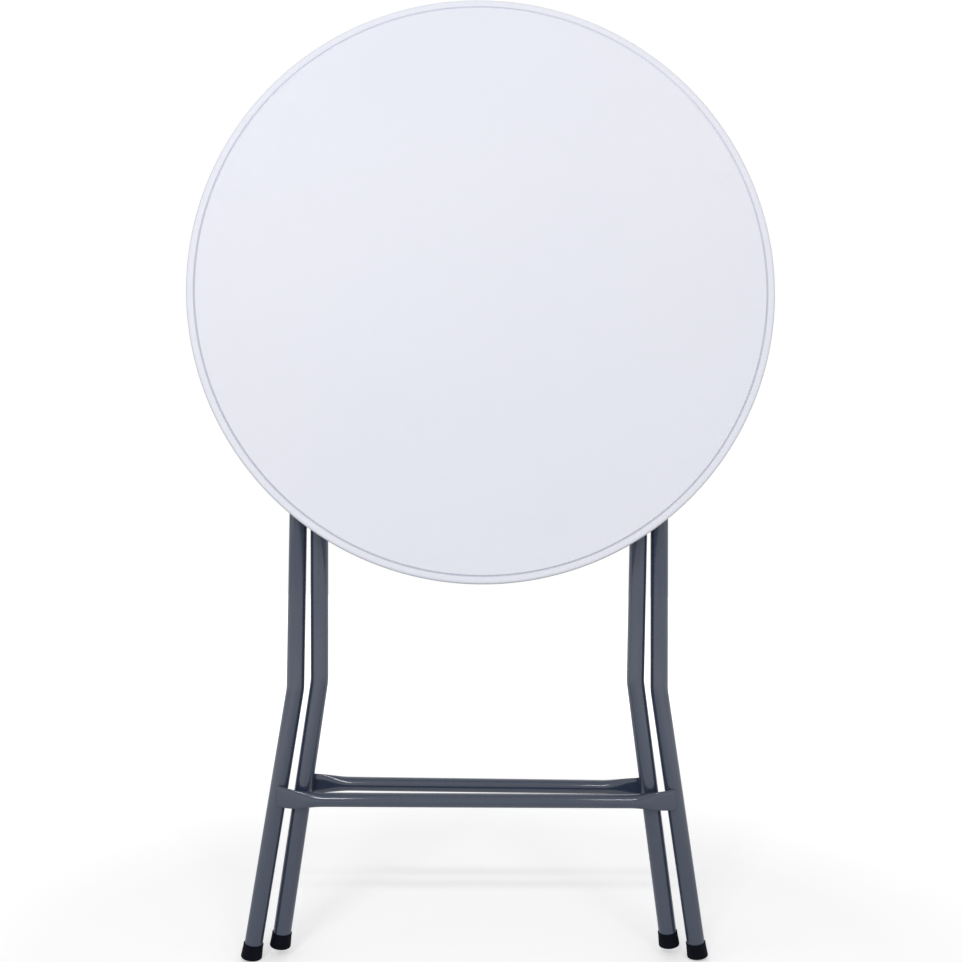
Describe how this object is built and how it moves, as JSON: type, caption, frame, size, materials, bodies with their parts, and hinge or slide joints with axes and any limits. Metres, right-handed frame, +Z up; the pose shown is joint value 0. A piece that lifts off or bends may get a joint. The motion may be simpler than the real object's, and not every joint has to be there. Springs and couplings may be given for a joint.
{
  "type": "folding standing table",
  "caption": "Round moulded top on two crossed tube leg frames that fold flat, for standing at, shown folded.",
  "frame": {"origin": "bottom centre of the box round the folded table, at floor level", "axes": "+Z up along the folded legs, -Y the side that the table's upper face looks to, +X across the table to the right as seen from -Y"},
  "size_m": [0.8, 0.0944, 1.3164],
  "materials": {
    "moulded_white": "fine-grained cool white polyethylene",
    "powder_coat": "blue-grey satin powder coat",
    "rubber_black": "matt black",
    "nylon_black": "black moulded nylon",
    "zinc_steel": "bright zinc plate"
  },
  "bodies": {
    "outer_frame": {"outer_leg_frame": "powder_coat", "outer_crossbar": "powder_coat", "foot_cap_outer_left": "rubber_black", "foot_cap_outer_right": "rubber_black", "pivot_bolt_left": "zinc_steel", "pivot_bolt_right": "zinc_steel", "pivot_cap_nut_left": "zinc_steel", "pivot_cap_nut_right": "zinc_steel", "pivot_spacer_left": "nylon_black", "pivot_spacer_right": "nylon_black"},
    "inner_frame": {"inner_leg_frame": "powder_coat", "inner_crossbar": "powder_coat", "foot_cap_inner_left": "rubber_black", "foot_cap_inner_right": "rubber_black"},
    "slide_shoes": {"slide_shoe_left": "nylon_black", "slide_shoe_right": "nylon_black"},
    "top": {"tabletop": "moulded_white", "slide_rail_left": "zinc_steel", "slide_rail_right": "zinc_steel", "rail_screw_left_1": "zinc_steel", "rail_screw_left_2": "zinc_steel", "rail_screw_left_3": "zinc_steel", "rail_screw_right_1": "zinc_steel", "rail_screw_right_2": "zinc_steel", "rail_screw_right_3": "zinc_steel", "tube_cradle_left": "nylon_black", "tube_cradle_right": "nylon_black", "cradle_screw_left_1": "zinc_steel", "cradle_screw_left_2": "zinc_steel", "cradle_screw_right_1": "zinc_steel", "cradle_screw_right_2": "zinc_steel", "keeper_screw_left": "zinc_steel", "keeper_screw_right": "zinc_steel", "lock_bracket": "zinc_steel", "lock_pin": "zinc_steel", "bracket_screw_left_1": "zinc_steel", "bracket_screw_right_1": "zinc_steel"},
    "keeper_left": {"keeper_left": "zinc_steel"},
    "keeper_right": {"keeper_right": "zinc_steel"},
    "lock_hook": {"lock_hook": "zinc_steel"}
  },
  "joints": [
    {"name": "scissor_pivot", "type": "hinge", "parent": "outer_frame", "child": "inner_frame", "pos_m": [0, 0.0158, 0.623], "axis": [1, 0, 0], "range_deg": [0, 53.05]},
    {"name": "shoe_turn", "type": "hinge", "parent": "inner_frame", "child": "slide_shoes", "pos_m": [0, 0.00524, 1.14936], "axis": [1, 0, 0], "range_deg": [-115.06, 0]},
    {"name": "top_slide", "type": "slide", "parent": "slide_shoes", "child": "top", "axis": [0, -0.0567, 0.9984], "range_m": [0, 0.4664]},
    {"name": "keeper_turn_left", "type": "hinge", "parent": "top", "child": "keeper_left", "pos_m": [-0.1524, 0.0283, 1.19747], "axis": [0, 1, 0], "range_deg": [0, 90]},
    {"name": "keeper_turn_right", "type": "hinge", "parent": "top", "child": "keeper_right", "pos_m": [0.1524, 0.0283, 1.19747], "axis": [0, 1, 0], "range_deg": [-90, 0]},
    {"name": "hook_turn", "type": "hinge", "parent": "top", "child": "lock_hook", "pos_m": [0, -0.0022, 0.64937], "axis": [1, 0, 0], "range_deg": [0, 134.68]}
  ],
  "couplings": [
    {"joint": "shoe_turn", "follows": "scissor_pivot", "ratio": -2.1686},
    {"joint": "top_slide", "follows": "scissor_pivot", "m_per_rad": 0.50349}
  ]
}
